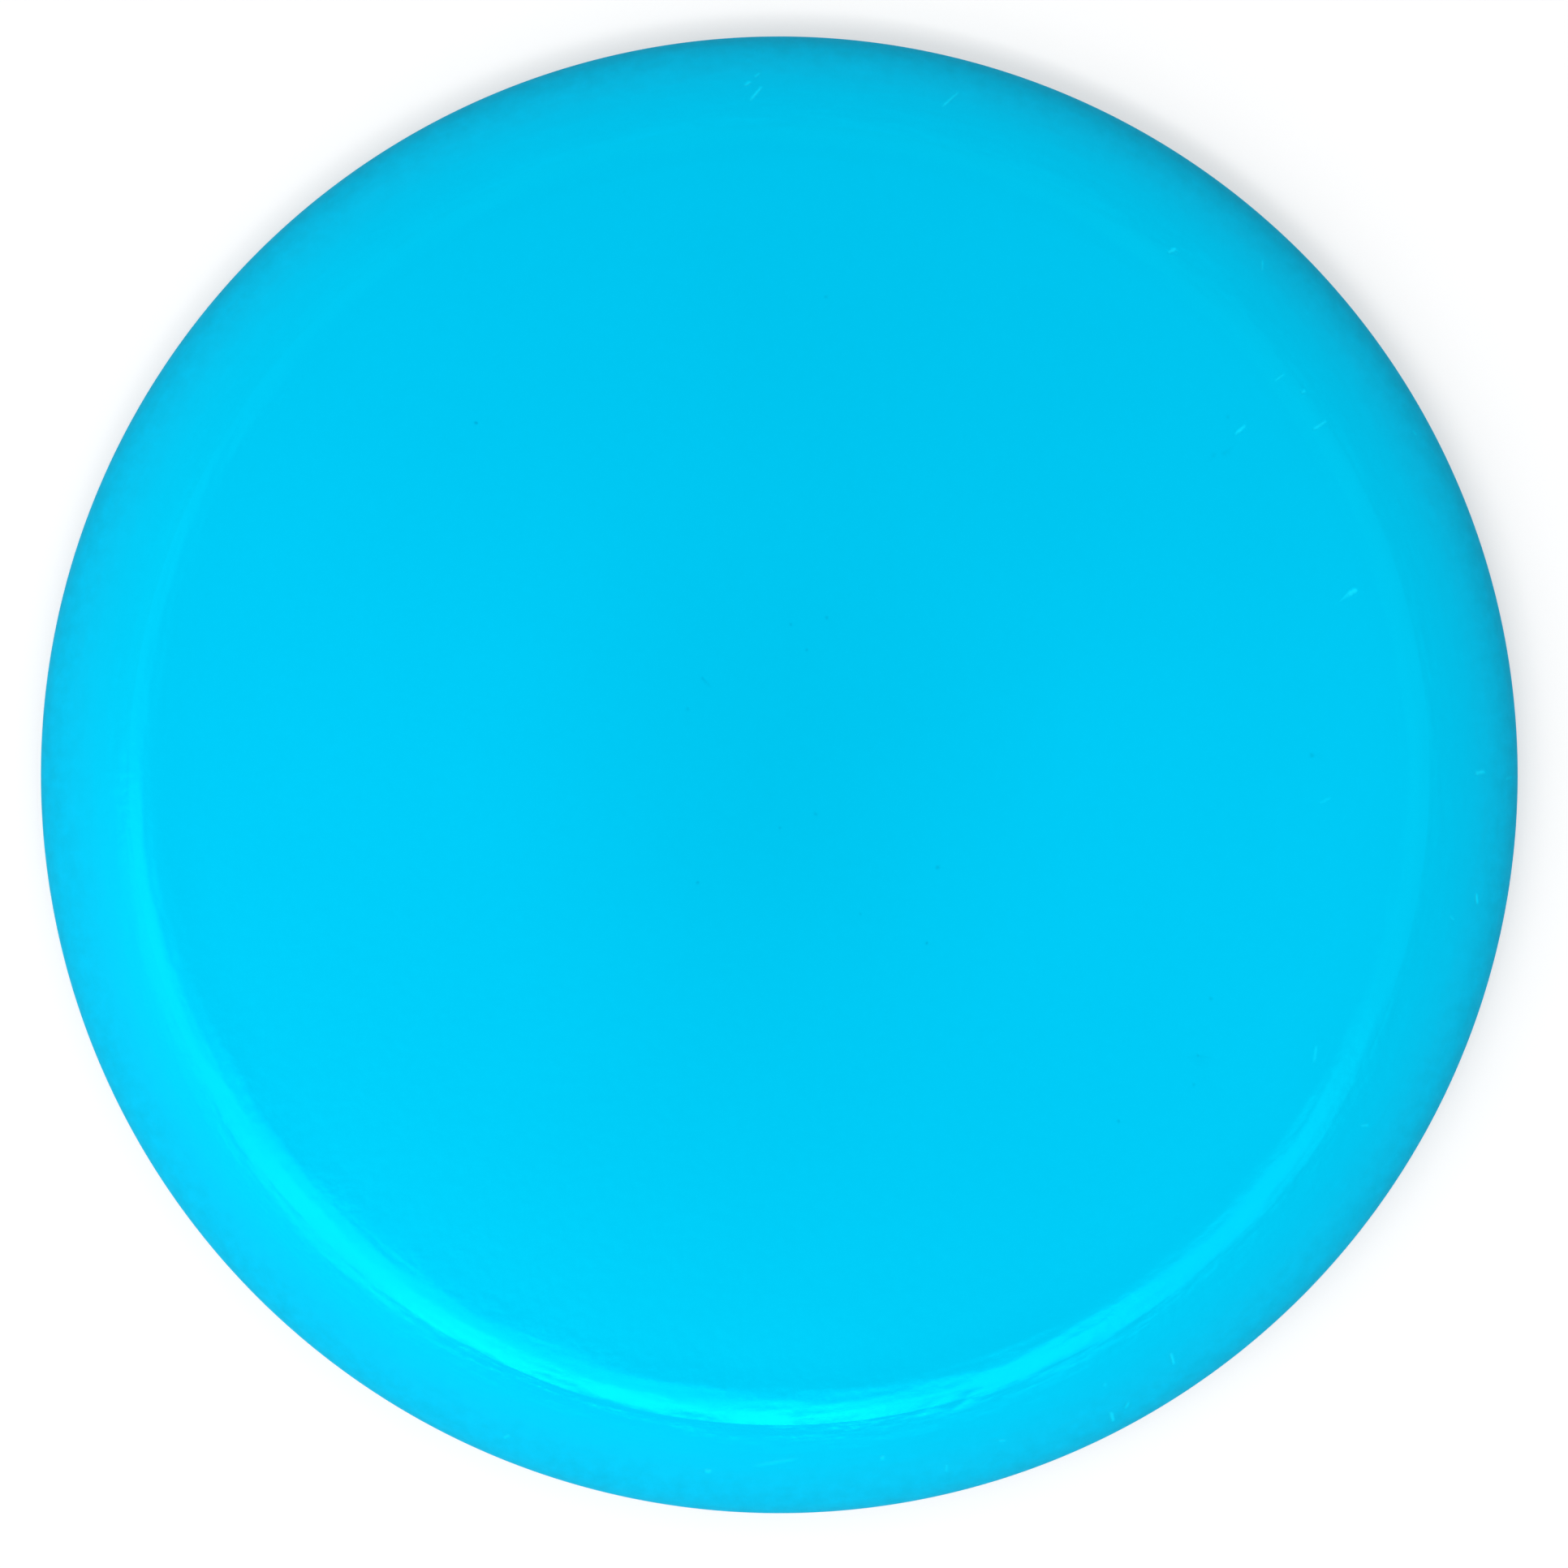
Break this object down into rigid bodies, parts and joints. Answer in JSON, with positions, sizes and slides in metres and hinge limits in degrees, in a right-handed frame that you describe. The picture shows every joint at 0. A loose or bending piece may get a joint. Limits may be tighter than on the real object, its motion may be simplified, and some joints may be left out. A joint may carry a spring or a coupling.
{
  "type": "flying disc",
  "caption": "Round thrown disc: a low-domed flight plate with a downturned grip wall, keyed into a smooth rounded outer rim, and open underneath for the fingers.",
  "frame": {"origin": "on the disc's axis, in the plane of the foot that it rests on", "axes": "+Z along the axis, out of the domed upper face; the disc is round, so X and Y are free, and in the picture +X is to the right and +Y is up"},
  "size_m": [0.217, 0.217, 0.018],
  "materials": {
    "plate_plastic": "satin",
    "rim_plastic": "satin"
  },
  "bodies": {
    "root": {"flight_plate": "plate_plastic", "outer_rim": "rim_plastic"}
  },
  "joints": []
}
